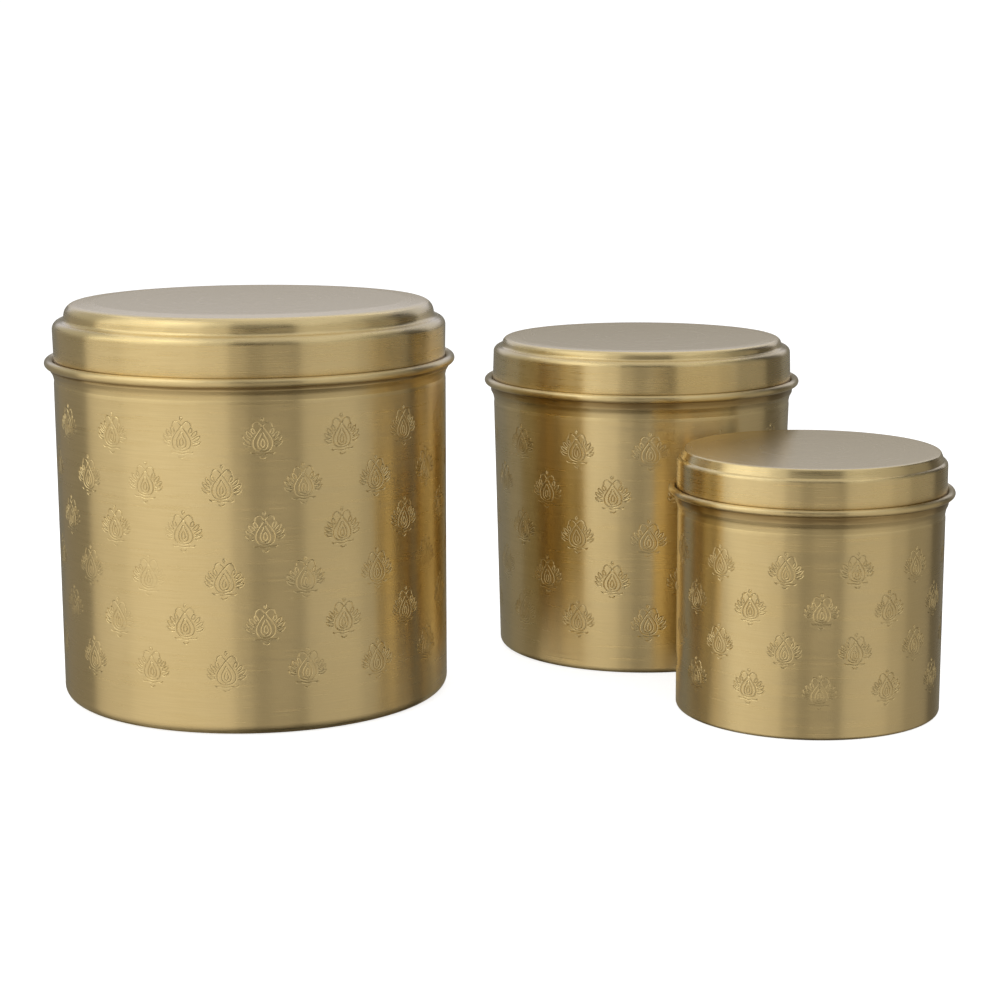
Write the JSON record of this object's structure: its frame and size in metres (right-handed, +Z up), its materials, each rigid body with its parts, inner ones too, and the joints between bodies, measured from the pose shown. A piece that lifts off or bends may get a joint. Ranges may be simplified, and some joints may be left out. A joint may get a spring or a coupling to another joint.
{
  "type": "lidded spice canister set",
  "caption": "Nesting set of round lidded spice canisters in brushed brass, with stamped bud motifs; the lids lift off and each canister picks up by itself.",
  "frame": {"origin": "middle of the set's footprint, on the plane the canisters stand on", "axes": "+Z up, +X from the large canister to the small one, +Y towards the medium canister at the back"},
  "size_m": [0.4113, 0.267, 0.1819],
  "materials": {
    "canister_brass": "brushed round the wall, satin",
    "lid_brass": "brushed in circles, satin",
    "wire_brass": "dull drawn wire"
  },
  "bodies": {
    "large_canister": {"large_body": "canister_brass", "large_rim_wire": "wire_brass"},
    "large_lid": {"large_lid": "lid_brass"},
    "medium_canister": {"medium_body": "canister_brass", "medium_rim_wire": "wire_brass"},
    "medium_lid": {"medium_lid": "lid_brass"},
    "small_canister": {"small_body": "canister_brass", "small_rim_wire": "wire_brass"},
    "small_lid": {"small_lid": "lid_brass"}
  },
  "joints": [
    {"name": "large_lid_lift", "type": "slide", "parent": "large_canister", "child": "large_lid", "axis": [0, 0, 1], "range_m": [0, 0.12]},
    {"name": "medium_canister_pick_up", "type": "slide", "parent": "large_canister", "child": "medium_canister", "axis": [0, 0, 1], "range_m": [0, 0.2]},
    {"name": "medium_lid_lift", "type": "slide", "parent": "medium_canister", "child": "medium_lid", "axis": [0, 0, 1], "range_m": [0, 0.11]},
    {"name": "small_canister_pick_up", "type": "slide", "parent": "large_canister", "child": "small_canister", "axis": [0, 0, 1], "range_m": [0, 0.2]},
    {"name": "small_lid_lift", "type": "slide", "parent": "small_canister", "child": "small_lid", "axis": [0, 0, 1], "range_m": [0, 0.1]}
  ]
}
